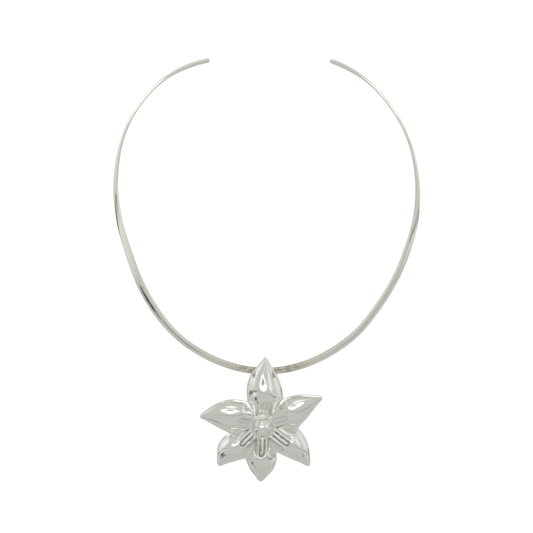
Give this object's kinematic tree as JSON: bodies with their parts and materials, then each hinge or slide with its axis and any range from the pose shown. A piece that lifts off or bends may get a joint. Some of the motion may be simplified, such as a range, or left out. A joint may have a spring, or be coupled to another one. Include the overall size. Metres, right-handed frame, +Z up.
{
  "type": "torc with flower pendant",
  "caption": "Open silver collar torc: a forged tapering strip bent to a neck ring, with a puffed flower pendant hanging from it by a strap bail",
  "frame": {"origin": "the middle of the neck opening, where the neck goes through", "axes": "+Z up with the ring's gap at the top, +X to the right as seen from the front, -Y towards the front that shows the flower"},
  "size_m": [0.1322, 0.0166, 0.1825],
  "materials": {
    "ring_silver": "polished silver with fine wear scratches",
    "flower_silver": "bright polished silver, a little darker in the chased flutes"
  },
  "bodies": {
    "ring": {"neck_ring": "ring_silver"},
    "pendant": {"flower_pendant": "flower_silver"}
  },
  "joints": [
    {"name": "pendant_swing", "type": "hinge", "parent": "ring", "child": "pendant", "pos_m": [-0.0019, -0.00089, -0.06971], "axis": [1, 0, 0], "range_deg": [-45, 15]}
  ]
}
